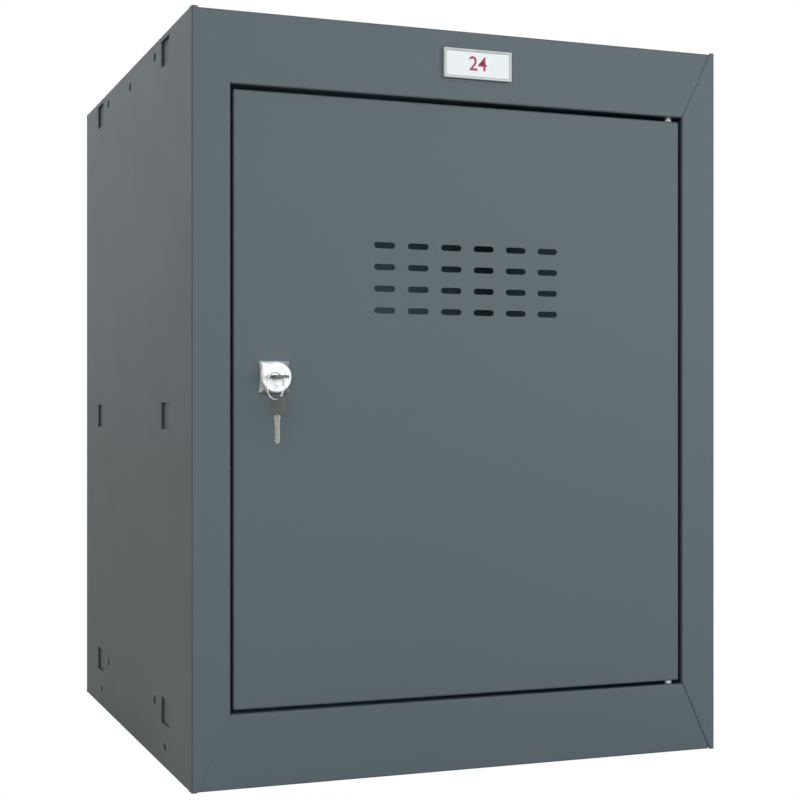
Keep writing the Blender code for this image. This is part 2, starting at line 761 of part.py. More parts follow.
barrel = outline_mesh(
    "barrel", [double_d(LOCK_X, LOCK_Z, BARREL_D, BARREL_FLATS)], DOOR_FACE - 0.0020, CAM_BACK - 0.0008, "XZ"
)
lock_bore = rod_mesh("bore", LOCK_X, -0.010, 0.030, LOCK_Z, PLUG_D + 2 * GAP, 36)
lock_housing = node(
    "lock_housing", head_mesh("head"), material("lock_housing", (0.80, 0.81, 0.82), 0.12, 1.0), [barrel], [lock_bore]
)


def hexagon(x, z, flats):
    r = flats / 2 / math.cos(math.pi / 6)
    return [(x + r * math.cos(math.pi / 3 * k), z + r * math.sin(math.pi / 3 * k)) for k in range(6)]


nut_back = inside + 0.0015 + GAP
lock_nut = node(
    "lock_nut",
    outline_mesh(
        "nut",
        [hexagon(LOCK_X, LOCK_Z, 0.022), double_d(LOCK_X, LOCK_Z, BARREL_D + 2 * GAP, BARREL_FLATS + 2 * GAP)],
        nut_back,
        nut_back + 0.0035,
        "XZ",
    ),
    material("lock_nut", (0.66, 0.66, 0.64), 0.3, 1.0),
)

lock_axis = bpy.data.objects.new("lock_axis", None)
PARTS.objects.link(lock_axis)
lock_axis.location = at(LOCK_X, 0, LOCK_Z)

SHANK = 0.007
plug_front, plug_end = -LOCK_OUT + 0.0002, CAM_BACK - 0.0005
plug = rod_mesh("plug", LOCK_X, plug_front, plug_end, LOCK_Z, PLUG_D, 36)
shank = box_mesh(
    "shank",
    LOCK_X - SHANK / 2,
    LOCK_X + SHANK / 2,
    plug_end - 0.001,
    CAM_BACK + 0.0023,
    LOCK_Z - SHANK / 2,
    LOCK_Z + SHANK / 2,
)
keyway = box_mesh(
    "keyway",
    LOCK_X - BLADE_W / 2 - SHOULDER - 0.00035,
    LOCK_X + BLADE_W / 2 + SHOULDER + 0.00035,
    plug_front - 0.002,
    plug_front + 0.0195,
    LOCK_Z - BLADE_T / 2 - 0.00035,
    LOCK_Z + BLADE_T / 2 + 0.00035,
)
screw_hole = rod_mesh("screw_hole", LOCK_X, CAM_BACK - 0.0042, CAM_BACK + 0.004, LOCK_Z, 0.0046, 20)
lock_plug = node(
    "lock_plug", plug, material("lock_plug", (0.80, 0.81, 0.82), 0.18, 1.0), [shank], [keyway, screw_hole]
)


def cam_outline():
    """A round hub with a tongue that hangs straight down from it."""
    r, w = 0.0085, CAM_W / 2
    reach = math.asin(w / r)
    pts = []
    for k in range(25):
        a = -math.pi / 2 + reach + (2 * math.pi - 2 * reach) * k / 24
        pts.append((LOCK_X + r * math.cos(a), LOCK_Z + r * math.sin(a)))
    tip = LOCK_Z - CAM_REACH
    for k in range(7):
        a = math.pi + math.pi / 2 * k / 6
        pts.append((LOCK_X - w + 0.004 + 0.004 * math.cos(a), tip + 0.004 + 0.004 * math.sin(a)))
    for k in range(7):
        a = -math.pi / 2 + math.pi / 2 * k / 6
        pts.append((LOCK_X + w - 0.004 + 0.004 * math.cos(a), tip + 0.004 + 0.004 * math.sin(a)))
    return pts


half = SHANK / 2 + GAP
lock_cam = node(
    "lock_cam",
    outline_mesh(
        "cam",
        [cam_outline(), rectangle(LOCK_X - half, LOCK_Z - half, LOCK_X + half, LOCK_Z + half)],
        CAM_BACK,
        CAM_BACK + 0.002,
        "XZ",
    ),
    material("lock_cam", (0.62, 0.60, 0.52), 0.35, 1.0),
)
cam_screw = node(
    "cam_screw",
    rod_mesh("head", LOCK_X, CAM_BACK + 0.0026, CAM_BACK + 0.0050, LOCK_Z, 0.0105, 24),
    material("cam_screw", (0.66, 0.66, 0.64), 0.3, 1.0),
    [rod_mesh("thread", LOCK_X, CAM_BACK - 0.0037, CAM_BACK + 0.0030, LOCK_Z, 0.0040, 20)],
    [
        box_mesh("drive_a", LOCK_X - 0.0029, LOCK_X + 0.0029, CAM_BACK + 0.0038, CAM_BACK + 0.006, LOCK_Z - 0.0005, LOCK_Z + 0.0005),
        box_mesh("drive_b", LOCK_X - 0.0005, LOCK_X + 0.0005, CAM_BACK + 0.0038, CAM_BACK + 0.006, LOCK_Z - 0.0029, LOCK_Z + 0.0029),
    ],
)


# ---- the keys -----------------------------------------------------------------------------------------------
# A key lies in its own plane: u across, v from the bow's outer end towards the blade's tip, and its hole at v = HOLE_IN.
# BOW_SHAPE has the bow's half widths and places, as shares of its width and length.
BOW_SHAPE = (
    (0.30, 0.0),
    (0.365, 0.025),
    (0.405, 0.075),
    (0.45, 0.21),
    (0.485, 0.38),
    (0.5, 0.55),
    (0.495, 0.68),
    (0.465, 0.80),
    (0.405, 0.90),
    (0.33, 0.965),
    (0.26, 1.0),
)


def bow_outline():
    """A shield, narrower at its outer end."""
    right = [(BOW_W * u, BOW_L * v) for u, v in BOW_SHAPE]
    return right + [(-u, v) for u, v in reversed(right)]


def blade_outline():
    """The shoulder, and a blade whose one edge carries the cuts."""
    w, top, tip = BLADE_W / 2, BOW_L + GAP, BOW_L + BLADE_L
    pts = [(w + SHOULDER, top), (w + SHOULDER, top + 0.0020), (w, top + 0.0032), (w, tip - 0.0011)]
    pts += [(w - 0.0010, tip), (-w + 0.0013, tip)]
    cuts = (0.0003, 0.0007, 0.0002, 0.0005)
    pitch = (BLADE_L - 0.0075) / len(cuts)
    v = tip - 0.0016
    for depth in cuts:
        pts += [(-w, v), (-w + depth, v - pitch * 0.35), (-w + depth, v - pitch * 0.65)]
        v -= pitch
    pts += [(-w, v), (-w, top + 0.0032), (-w - SHOULDER, top + 0.0020), (-w - SHOULDER, top)]
    return pts


def key(name, place):
    """A moulded bow and the steel blade whose thin tang is held inside it. place carries u, v and the normal."""

    def flat(part, loops, thickness):
        mesh = outline_mesh(part, loops, 0, thickness, "XY")
        mesh.transform(Matrix.Translation((0, -FRONT, -thickness / 2)))
        mesh.transform(place)
        return mesh

    pocket = flat("pocket", [rectangle(-0.0019, BOW_L - 0.0042, 0.0019, BOW_L + 0.002)], 0.0011)
    bow = node(
        f"{name}_bow",
        flat("bow", [bow_outline(), circle(0, HOLE_IN, BOW_HOLE)], BOW_T),
        material(f"{name}_bow", (0.105, 0.105, 0.10), 0.5, 0.0),
        cut=[pocket],
    )
    tang = flat("tang", [rectangle(-0.0016, BOW_L - 0.0038, 0.0016, BOW_L + 0.0015)], 0.0005)
    blade = node(
        f"{name}_blade",
        flat("blade", [blade_outline()], BLADE_T),
        material(f"{name}_blade", (0.60, 0.61, 0.57), 0.3, 1.0),
        add=[tang],
    )
    return bow, blade


# the key in the lock lies level, its blade pointing into the lock
key_place = Matrix.Translation(at(LOCK_X, -BOW_OUT, LOCK_Z)) @ Matrix(
    ((1, 0, 0, 0), (0, 1, 0, 0), (0, 0, 1, 0), (0, 0, 0, 1))
)
key_parts = key("key", key_place)
key_slide = bpy.data.objects.new("key_slide", None)
PARTS.objects.link(key_slide)
key_slide.location = at(LOCK_X, -LOCK_OUT, LOCK_Z)

# the ring passes through the key's hole and stands in an upright plane
ring_axis = bpy.data.objects.new("ring_axis", None)
PARTS.objects.link(ring_axis)
ring_centre = at(LOCK_X, -HOLE_OUT, LOCK_Z) + TO_RING * RING_OFF - Vector((0, 0, RING_R * math.sin(RING_CLIMB)))
ring_axis.location = ring_centre

bpy.ops.mesh.primitive_torus_add(
    major_radius=RING_R, minor_radius=RING_WIRE / 2, major_segments=48, minor_segments=10, location=(0, 0, 0)
)
ring_mesh = bpy.context.object.data
bpy.data.objects.remove(bpy.context.object, do_unlink=True)
across = Vector((math.cos(RING_TURN), -math.sin(RING_TURN), 0))  # the ring's own normal
ring_mesh.transform(
    Matrix.Translation(ring_centre)
    @ Matrix(((TO_RING.x, 0, across.x), (TO_RING.y, 0, across.y), (0, 1, 0))).to_4x4()
)
key_ring = node("key_ring", closed(ring_mesh), material("key_ring", (0.78, 0.79, 0.80), 0.2, 1.0))

# the spare key hangs near the ring's lowest point
hang = ring_centre - (TO_RING * math.sin(SPARE_TURN) + Vector((0, 0, math.cos(SPARE_TURN)))) * RING_R
spare_axis = bpy.data.objects.new("spare_key_axis", None)
PARTS.objects.link(spare_axis)
spare_axis.location = hang
spare_top = hang + Vector((0, 0, RING_WIRE / 2 + 0.0005 - BOW_HOLE / 2 + HOLE_IN))
spare_place = Matrix.Translation(spare_top) @ Matrix(
    ((across.x, 0, -TO_RING.x), (across.y, 0, -TO_RING.y), (0, -1, 0))
).to_4x4()
spare_parts = key("spare_key", spare_place)


# ---- what moves with what -----------------------------------------------------------------------------------
def world_origin(piece):
    spot, up = Vector(piece.location), piece.parent
    while up is not None:
        spot += up.location
        up = up.parent
    return spot


def parent_keeping(piece, parent):
    """Parents a piece so that its shape stays and its origin is the parent's."""
    origin = world_origin(parent)
    if piece.data is None:
        piece.location = piece.location - origin
    else:
        piece.data.transform(Matrix.Translation(-origin))
        for mod in piece.modifiers:
            mod.object.data.transform(Matrix.Translation(-origin))
            mod.object.parent = piece
        piece.location = (0, 0, 0)
    piece.parent = parent


for axis, parent in ((lock_axis, door_axis), (key_slide, lock_axis), (ring_axis, key_slide), (spare_axis, ring_axis)):
    parent_keeping(axis, parent)
for parent, pieces in (
    (door_axis, [door_panel, door_stiffener, lock_doubler, *pins, lock_housing, lock_nut]),
    (lock_axis, [lock_plug, lock_cam, cam_screw]),
    (key_slide, list(key_parts)),
    (ring_axis, [key_ring]),
    (spare_axis, list(spare_parts)),
):
    for piece in pieces:
        parent_keeping(piece, parent)
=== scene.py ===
"""Looks of the cube locker: powder-coated sheet steel, a plated cam lock with its keys and ring, and a label plate.

Everything is in metres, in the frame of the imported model: +X to the right, +Y to the back, +Z up.
"""

import json
import math

import bmesh
import bpy
from mathutils import Matrix, Vector


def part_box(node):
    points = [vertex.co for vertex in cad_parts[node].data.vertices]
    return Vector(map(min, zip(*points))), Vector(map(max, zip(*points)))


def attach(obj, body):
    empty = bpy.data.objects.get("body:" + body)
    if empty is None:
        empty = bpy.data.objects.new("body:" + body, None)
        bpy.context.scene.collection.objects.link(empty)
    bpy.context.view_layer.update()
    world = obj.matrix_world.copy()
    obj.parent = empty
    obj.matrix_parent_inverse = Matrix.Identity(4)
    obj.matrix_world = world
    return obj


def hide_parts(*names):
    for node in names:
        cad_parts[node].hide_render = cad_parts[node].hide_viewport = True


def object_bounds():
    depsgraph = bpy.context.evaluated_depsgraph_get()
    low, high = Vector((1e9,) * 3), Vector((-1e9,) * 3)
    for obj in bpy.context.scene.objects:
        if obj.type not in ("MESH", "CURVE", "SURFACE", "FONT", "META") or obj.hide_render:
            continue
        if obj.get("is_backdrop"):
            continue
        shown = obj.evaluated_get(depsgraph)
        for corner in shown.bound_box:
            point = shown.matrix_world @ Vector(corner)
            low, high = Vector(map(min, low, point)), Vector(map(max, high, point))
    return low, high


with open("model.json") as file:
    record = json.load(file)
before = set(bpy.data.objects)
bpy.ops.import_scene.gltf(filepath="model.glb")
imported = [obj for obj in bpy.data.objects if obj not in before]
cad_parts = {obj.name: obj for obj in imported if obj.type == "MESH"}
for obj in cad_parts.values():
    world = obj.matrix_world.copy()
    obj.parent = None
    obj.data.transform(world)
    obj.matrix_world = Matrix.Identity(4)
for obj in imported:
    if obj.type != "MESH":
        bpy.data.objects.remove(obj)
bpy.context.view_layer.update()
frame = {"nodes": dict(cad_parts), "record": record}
NODES = frame["nodes"]
scene = bpy.context.scene


# ---- node trees ---------------------------------------------------------------------------------------------
class Tree:
    """Builds a material's nodes. Values that are the same all over go straight on the shader's sockets."""

    def __init__(self, name):
        self.mat = bpy.data.materials.new(name)
        self.mat.use_nodes = True
        self.nodes = self.mat.node_tree.nodes
        self.links = self.mat.node_tree.links
        self.shader = self.nodes["Principled BSDF"]
        self.coord = self.nodes.new("ShaderNodeTexCoord").outputs["Object"]

    def set(self, **values):
        for key, value in values.items():
            self.shader.inputs[key.replace("_", " ")].default_value = value
        return self

    def put(self, socket, value):
        if isinstance(value, bpy.types.NodeSocket):
            self.links.new(value, socket)
        else:
            socket.default_value = value

    def scaled(self, x, y, z):
        """The coordinates, stretched: a larger number makes a finer pattern along that axis."""
        node = self.nodes.new("ShaderNodeMapping")
        node.inputs["Scale"].default_value = (x, y, z)
        self.links.new(self.coord, node.inputs["Vector"])
        return node.outputs["Vector"]

    def noise(self, scale, detail=2.0, rough=0.5, vector=None, distortion=0.0):
        node = self.nodes.new("ShaderNodeTexNoise")
        node.inputs["Scale"].default_value = scale
        node.inputs["Detail"].default_value = detail
        node.inputs["Roughness"].default_value = rough
        node.inputs["Distortion"].default_value = distortion
        self.links.new(vector or self.coord, node.inputs["Vector"])
        return node.outputs["Fac"]

    def cells(self, scale, feature="F1", vector=None):
        node = self.nodes.new("ShaderNodeTexVoronoi")
        node.feature = feature
        node.inputs["Scale"].default_value = scale
        self.links.new(vector or self.coord, node.inputs["Vector"])
        return node.outputs["Distance"]

    def math(self, operation, a, b=None, clamp=False):
        node = self.nodes.new("ShaderNodeMath")
        node.operation = operation
        node.use_clamp = clamp
        self.put(node.inputs[0], a)
        if b is not None:
            self.put(node.inputs[1], b)
        return node.outputs[0]

    def range(self, value, a, b, c, d, smooth=False):
        node = self.nodes.new("ShaderNodeMapRange")
        if smooth:
            node.interpolation_type = "SMOOTHSTEP"
        self.put(node.inputs["Value"], value)
        for name, x in zip(("From Min", "From Max", "To Min", "To Max"), (a, b, c, d)):
            node.inputs[name].default_value = x
        return node.outputs["Result"]

    def mix(self, share, a, b):
        node = self.nodes.new("ShaderNodeMix")
        node.data_type = "RGBA"
        self.put(node.inputs[0], share)
        self.put(node.inputs[6], a)
        self.put(node.inputs[7], b)
        return node.outputs[2]

    def axis(self, letter):
        node = self.nodes.new("ShaderNodeSeparateXYZ")
        self.links.new(self.coord, node.inputs[0])
        return node.outputs[letter]

    def edges(self, radius, low=0.02, high=0.35):
        """Near 1 along the piece's outer and inner edges, and 0 on its open faces."""
        bevel = self.nodes.new("ShaderNodeBevel")
        bevel.samples = 6
        bevel.inputs["Radius"].default_value = radius
        geometry = self.nodes.new("ShaderNodeNewGeometry")
        dot = self.nodes.new("ShaderNodeVectorMath")
        dot.operation = "DOT_PRODUCT"
        self.links.new(bevel.outputs["Normal"], dot.inputs[0])
        self.links.new(geometry.outputs["Normal"], dot.inputs[1])
        return self.range(self.math("SUBTRACT", 1.0, dot.outputs["Value"]), low, high, 0.0, 1.0)

    def bump(self, *layers):
        """Each layer is (height, strength, distance in metres). They lie on each other."""
        last = None
        for height, strength, distance in layers:
            node = self.nodes.new("ShaderNodeBump")
            node.inputs["Strength"].default_value = strength
            node.inputs["Distance"].default_value = distance
            self.links.new(height, node.inputs["Height"])
            if last is not None:
                self.links.new(last, node.inputs["Normal"])
            last = node.outputs["Normal"]
        self.links.new(last, self.shader.inputs["Normal"])
        return self

    def done(self, colour=None, roughness=None):
        if colour is not None:
            self.put(self.shader.inputs["Base Color"], colour)
        if roughness is not None:
            self.put(self.shader.inputs["Roughness"], roughness)
        return self.mat


def rgb(r, g, b):
    return (r, g, b, 1.0)


def shade(colour, factor):
    return (colour[0] * factor, colour[1] * factor, colour[2] * factor, 1.0)


# ---- materials ----------------------------------------------------------------------------------------------
ANTHRACITE = (0.093, 0.122, 0.136)


def powder_coat(name, colour=ANTHRACITE, wear=1.0, bend=0.0):
    """Semi-matt powder coat: a fine orange peel, slightly uneven gloss, and paint that is thin along the edges. With
    bend given, painted shade darkens the front bends and the recess that the door shuts into.
    """
    t = Tree(name)
    t.set(Specular_IOR_Level=0.42, IOR=1.5)
    cloud = t.noise(7.0, 3.0, 0.55)
    grain = t.noise(1500.0, 2.0, 0.6)
    speck = t.cells(1900.0)
    body = t.mix(t.range(cloud, 0.3, 0.7, 0.0, 1.0), shade(colour, 0.99), shade(colour, 1.01))
    body = t.mix(t.range(grain, 0.35, 0.70, 0.0, 0.30), body, shade(colour, 1.14))
    body = t.mix(t.range(speck, 0.0, 0.22, 0.20, 0.0), body, shade(colour, 0.76))
    edge = t.edges(0.0006)
    broken = t.math("MULTIPLY", edge, t.range(t.noise(55.0, 4.0, 0.6), 0.45, 0.70, 0.05, 0.45))
    body = t.mix(t.math("MULTIPLY", broken, wear), body, shade(colour, 1.4))
    if bend:
        # painted shade: the coat's colour is darkened along the outer front bends of the sides
        out = t.range(t.math("ABSOLUTE", t.axis("X")), 0.19030, 0.19075, 0.0, 1.0)
        bend_shade_falloff = t.range(t.axis("Y"), bend, bend + 0.0011, 1.0, 0.0)
        body = t.mix(t.math("MULTIPLY", out, t.math("MULTIPLY", bend_shade_falloff, 0.9)), body, shade(colour, 0.25))
        # painted shade in the recess that the door shuts into: the coat is darkened and tinted blue there, more
        # strongly towards the right
        inside = t.range(t.math("ABSOLUTE", t.axis("X")), 0.1672, 0.1676, 1.0, 0.0)
        rebate_shade = t.math("MULTIPLY", t.range(t.axis("Y"), bend + 0.0012, bend + 0.0045, 0.0, 1.0), inside)
        rebate_shade = t.math("MULTIPLY", t.range(t.axis("Y"), bend + 0.015, bend + 0.026, 1.0, 0.0), rebate_shade)
        rebate_shade = t.math("MULTIPLY", t.range(t.axis("X"), -0.16, 0.12, 0.15, 0.9), rebate_shade)
        gap_shade_colour = shade(colour, 0.22)
        body = t.mix(rebate_shade, body, (gap_shade_colour[0] * 0.9, gap_shade_colour[1], gap_shade_colour[2] * 1.8, *gap_shade_colour[3:]))
    rough = t.range(t.noise(16.0, 3.0, 0.5), 0.3, 0.7, 0.445, 0.465)
    rough = t.math("ADD", rough, t.range(grain, 0.3, 0.7, -0.02, 0.02))
    t.bump((t.noise(620.0, 2.0, 0.5), 0.06, 0.00010), (grain, 0.08, 0.00004))
    return t.done(body, rough)


def bright_metal(name, colour, rough, scratches=0.3, along=(1, 1, 1), dirt=0.15, metallic=1.0):
    """Plated metal with fine polishing lines and a faint blotchy film. Satin plating is less than fully metallic."""
    t = Tree(name)
    t.set(Metallic=metallic)
    lines = t.noise(1.0, 3.0, 0.6, vector=t.scaled(*[900.0 * a for a in along]))
    film = t.noise(240.0, 3.0, 0.6)
    edge = t.edges(0.0004)
    body = t.mix(t.range(film, 0.35, 0.75, 0.0, dirt), colour, shade(colour, 0.62))
    body = t.mix(t.math("MULTIPLY", edge, 0.35), body, shade(colour, 1.12))
    r = t.range(lines, 0.3, 0.7, rough * (1 - scratches), rough * (1 + scratches))
    r = t.math("ADD", r, t.range(film, 0.4, 0.8, 0.0, 0.06))
    t.bump((lines, 0.12, 0.00002), (film, 0.10, 0.00003))
    return t.done(body, r)


def bright_plate(name, colour, rough, metallic):
    """Bright plating on a die casting: nearly smooth, with a faint haze and very fine polishing lines."""
    t = Tree(name)
    t.set(Metallic=metallic, Specular_IOR_Level=0.6)
    lines = t.noise(1.0, 2.0, 0.5, vector=t.scaled(2600.0, 2600.0, 300.0))
    haze = t.noise(110.0, 2.0, 0.5)
    edge = t.edges(0.0003)
    body = t.mix(t.range(haze, 0.35, 0.75, 0.0, 0.25), colour, shade(colour, 0.90))
    body = t.mix(t.math("MULTIPLY", edge, 0.3), body, shade(colour, 1.06))
    r = t.math("ADD", t.range(haze, 0.3, 0.7, rough - 0.02, rough + 0.03), t.range(lines, 0.3, 0.7, -0.02, 0.02))
    t.bump((lines, 0.04, 0.00001), (haze, 0.03, 0.00002))
    return t.done(body, r)


def moulded(name, colour, rough, texture=1400.0, depth=0.25, wear=0.5):
    """Moulded plastic or rubber with a fine spark-eroded texture."""
    t = Tree(name)
    t.set(Specular_IOR_Level=0.5)
    grain = t.noise(texture, 3.0, 0.6)
    cloud = t.noise(90.0, 2.0, 0.5)
    edge = t.math("MULTIPLY", t.edges(0.0004), t.range(t.noise(500.0, 2.0, 0.5), 0.35, 0.65, 0.2, 1.0))
    body = t.mix(t.range(cloud, 0.3, 0.7, 0.0, 1.0), shade(colour, 0.94), shade(colour, 1.06))
    body = t.mix(t.math("MULTIPLY", edge, wear), body, shade(colour, 1.6))
    t.bump((grain, depth, 0.00005))
    return t.done(body, t.range(grain, 0.3, 0.7, rough - 0.05, rough + 0.06))


def card():
    """White card with paper fibre."""
    t = Tree("label_card")
    t.set(Specular_IOR_Level=0.35)
    fibre = t.noise(1.0, 4.0, 0.65, vector=t.scaled(1500.0, 1500.0, 3200.0))
    body = t.mix(t.range(fibre, 0.3, 0.7, 0.0, 1.0), rgb(0.89, 0.895, 0.895), rgb(0.95, 0.955, 0.955))
    t.bump((fibre, 0.10, 0.00003))
    return t.done(body, t.range(fibre, 0.3, 0.7, 0.38, 0.48))


MATERIALS = {
    # the cabinet's coat has painted shade along its front bends and in the recess the door shuts into
    "powder_coat_cabinet": powder_coat("powder_coat_cabinet", bend=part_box("side_panel_left")[0].y),
    "powder_coat_door": powder_coat("powder_coat_door"),
    "nylon": moulded("nylon", (0.86, 0.87, 0.86), 0.42, 900.0, 0.12, 0.1),
    "label_frame": moulded("label_frame", (0.73, 0.74, 0.74), 0.40, 1500.0, 0.12, 0.0),
    "label_card": card(),
    "label_print": moulded("label_print", (0.46, 0.02, 0.065), 0.5, 1800.0, 0.1, 0.0),
    "buffer_rubber": moulded("buffer_rubber", (0.022, 0.022, 0.022), 0.72, 1600.0, 0.35, 0.3),
    "zinc_plate": bright_metal("zinc_plate", rgb(0.70, 0.71, 0.70), 0.30, 0.35, (1.0, 1.0, 1.0), 0.35),
    "lock_chrome": bright_plate("lock_chrome", rgb(0.93, 0.93, 0.92), 0.30, 0.60),
    # painted shade: the flanks of the head get a darker, duller copy of the lock's chrome
    "lock_flank": bright_plate("lock_flank", rgb(0.58, 0.585, 0.565), 0.60, 0.96),
    "key_bow_plastic": moulded("key_bow_plastic", (0.152, 0.164, 0.154), 0.44, 1700.0, 0.3, 0.6),
    "key_steel": bright_metal("key_steel", rgb(0.66, 0.67, 0.62), 0.34, 0.3, (4.0, 4.0, 0.4), 0.22, 0.55),
    "ring_wire": bright_plate("ring_wire", rgb(0.86, 0.865, 0.865), 0.28, 0.30),
}

for row in frame["record"]["subparts"]:
    node = NODES[row["node"]]
    node.data.materials.clear()
    node.data.materials.append(MATERIALS[row["material_slot"]])


# ---- the sheets' and castings' edges --------------------------------------------------------------------------
def soften(name, width, segments=2, angle=40.0):
    """Rounds a CAD piece's sharp edges without touching its mesh."""
    node = NODES[name]
    weld = node.modifiers.new("weld", "WELD")
    weld.merge_threshold = 0.000002
    if width:
        flat = node.modifiers.new("flat", "DECIMATE")
        flat.decimate_type = "DISSOLVE"
        flat.angle_limit = math.radians(0.6)
    if width:
        bevel = node.modifiers.new("bevel", "BEVEL")
        bevel.width = width
        bevel.segments = segments
        bevel.limit_method = "ANGLE"
        bevel.angle_limit = math.radians(angle)
        bevel.use_clamp_overlap = True
    smooth = node.modifiers.new("smooth", "WEIGHTED_NORMAL")
    smooth.keep_sharp = False


def cut(name, mesh):
    """Cuts a shape from a softened CAD piece with a hidden cutter, which rides along with it."""
    cutter = bpy.data.objects.new(f"cutter_{name}", mesh)
    scene.collection.objects.link(cutter)
    cutter.hide_render = True
    cutter.display_type = "WIRE"
    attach(cutter, BODY_OF[name])
    mod = NODES[name].modifiers.new("cut", "BOOLEAN")
    mod.operation = "DIFFERENCE"
    mod.solver = "EXACT"
    mod.object = cutter
    last = NODES[name].modifiers.find("smooth")
    NODES[name].modifiers.move(NODES[name].modifiers.find("cut"), last)


BODY_OF = {node: body for body, nodes in frame["record"]["behaviour"]["bodies"].items() for node in nodes}

# ---- shapes -------------------------------------------------------------------------------------------------
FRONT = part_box("side_panel_left")[0].y
LOCK = Vector((-0.1368, FRONT, 0.2645))
LOCK_OUT = 0.0056
BOW_L, BOW_W, BOW_T = 0.0117, 0.0119, 0.0018
BLADE_L, BLADE_T = 0.0184, 0.0013
RING_TURN = math.radians(55)
TO_RING = Vector((-math.sin(RING_TURN), -math.cos(RING_TURN), 0))
ACROSS = Vector((math.cos(RING_TURN), -math.sin(RING_TURN), 0))
RING_R = 0.0085


def mesh_from(name, verts, faces, smooth=True):
    mesh = bpy.data.meshes.new(name)
    mesh.from_pydata([tuple(v) for v in verts], [], faces)
    bm = bmesh.new()
    bm.from_mesh(mesh)
    bmesh.ops.remove_doubles(bm, verts=bm.verts, dist=1e-7)
    bmesh.ops.recalc_face_normals(bm, faces=bm.faces)
    bm.to_mesh(mesh)
    bm.free()
    if smooth:
        mesh.shade_smooth()
        mesh.set_sharp_from_angle(angle=math.radians(38))
    return mesh


def piece(name, mesh, material, body):
    mesh.materials.clear()
    mesh.materials.append(material)
    obj = bpy.data.objects.new(name, mesh)
    scene.collection.objects.link(obj)
    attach(obj, body)
    return obj


def sweep(points, frames, section, closed=False):
    """A bar through points. Each frame has the two directions of its section."""
    n, verts, faces = len(section), [], []
    for p, (a, b) in zip(points, frames):
        verts += [p + a * x + b * y for x, y in section]
    rows = len(points)
    for i in range(rows if closed else rows - 1):
        j = (i + 1) % rows
        for k in range(n):
            m = (k + 1) % n
            faces.append((i * n + k, i * n + m, j * n + m, j * n + k))
    if not closed:
        faces += [tuple(range(n)), tuple(range((rows - 1) * n, rows * n))]
    return verts, faces


def lathe(stations, centre, axis, other, count=32):
    """A turned shape from (radius, distance along the axis) stations, closed at both ends."""
    third = axis.cross(other)
    verts, faces = [], []
    for r, h in stations:
        for k in range(count):
            a = 2 * math.pi * k / count
            verts.append(centre + axis * h + (other * math.cos(a) + third * math.sin(a)) * r)
    for i in range(len(stations) - 1):
        for k in range(count):
            m = (k + 1) % count
            faces.append((i * count + k, i * count + m, (i + 1) * count + m, (i + 1) * count + k))
    faces += [tuple(range(count)), tuple(range((len(stations) - 1) * count, len(stations) * count))]
    return verts, faces


def merged(shapes):
    verts, faces = [], []
    for v, f in shapes:
        faces += [tuple(i + len(verts) for i in face) for face in f]
        verts += v
    return verts, faces


def brick(place, u0, u1, v0, v1, n0, n1):
    """A block in a key's own plane."""
    pts = [place @ Vector((u, v, n)) for n in (n0, n1) for u, v in ((u0, v0), (u1, v0), (u1, v1), (u0, v1))]
    return pts, [(0, 1, 2, 3), (4, 5, 6, 7), (0, 1, 5, 4), (1, 2, 6, 5), (2, 3, 7, 6), (3, 0, 4, 7)]


def prism(place, outline, n0, n1):
    k = len(outline)
    pts = [place @ Vector((u, v, n)) for n in (n0, n1) for u, v in outline]
    faces = [tuple(range(k)), tuple(range(k, 2 * k))]
    return pts, faces + [(i, (i + 1) % k, k + (i + 1) % k, k + i) for i in range(k)]


for name, width in (
    ("side_panel_left", 0.00022),
    ("side_panel_right", 0.00022),
    ("top_panel", 0.00022),
    ("base_panel", 0.00022),
    ("back_panel", 0.00015),
    ("slot_backing_left", 0.00015),
    ("slot_backing_right", 0.00015),
    ("door_panel", 0.00018),
    ("door_stiffener", 0.00015),
    ("lock_doubler", 0.0002),
    ("lock_nut", 0.0005),
    ("lock_cam", 0.0003),
    ("lock_plug", 0.0002),
    ("cam_screw", 0.0003),
    ("hinge_bush_upper", 0.0002),
    ("hinge_bush_lower", 0.0002),
    ("door_buffer_lower", 0.0005),
    ("door_buffer_upper", 0.0005),
    ("key_bow", 0.00022),
    ("spare_key_bow", 0.00022),
    ("key_blade", 0.00012),
    ("spare_key_blade", 0.00012),
):
    soften(name, width)

# ---- weld marks on the back and inside the door -------------------------------------------------------------
def dimple(x, y, z, way, radius=0.0026, depth=0.00016):
    """A shallow round dent in a sheet whose face looks along way."""
    axis = Vector((0, way, 0))
    stations = ((radius * 0.45, -depth), (radius * 0.8, -depth * 0.55), (radius, 0.0), (radius, 0.0006))
    return lathe(stations, Vector((x, y, z)), axis, Vector((1, 0, 0)), 16)


back_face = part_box("back_panel")[1].y
spots = [(side * 0.1832, z) for side in (-1, 1) for z in [0.028 + 0.0555 * k for k in range(9)]]
spots += [(x, z) for z in (0.0405, 0.4905) for x in [-0.150 + 0.060 * k for k in range(6)]]
verts, faces = merged([dimple(x, back_face, z, 1) for x, z in spots])
cut("back_panel", mesh_from("back_dimples", verts, faces, smooth=False))

stiffener_y = FRONT + 0.0019 + 0.001 + 0.0003 + 0.001
spots = [(x, 0.075 + 0.0583 * k) for x in (-0.1105, -0.0875) for k in range(7)]
verts, faces = merged([dimple(x, stiffener_y, z, 1, 0.0019, 0.00014) for x, z in spots])
cut("door_stiffener", mesh_from("stiffener_dimples", verts, faces, smooth=False))

def tube(centre, r0, r1, y0, y1, count=64):
    """A short tube along Y."""
    verts, faces = [], []
    for r, y in ((r0, y0), (r0, y1), (r1, y1), (r1, y0)):
        for k in range(count):
            a = 2 * math.pi * k / count
            verts.append(centre + Vector((r * math.cos(a), y, r * math.sin(a))))
    for i in range(4):
        for k in range(count):
            m, j = (k + 1) % count, (i + 1) % 4
            faces.append((i * count + k, i * count + m, j * count + m, j * count + k))
    return verts, faces


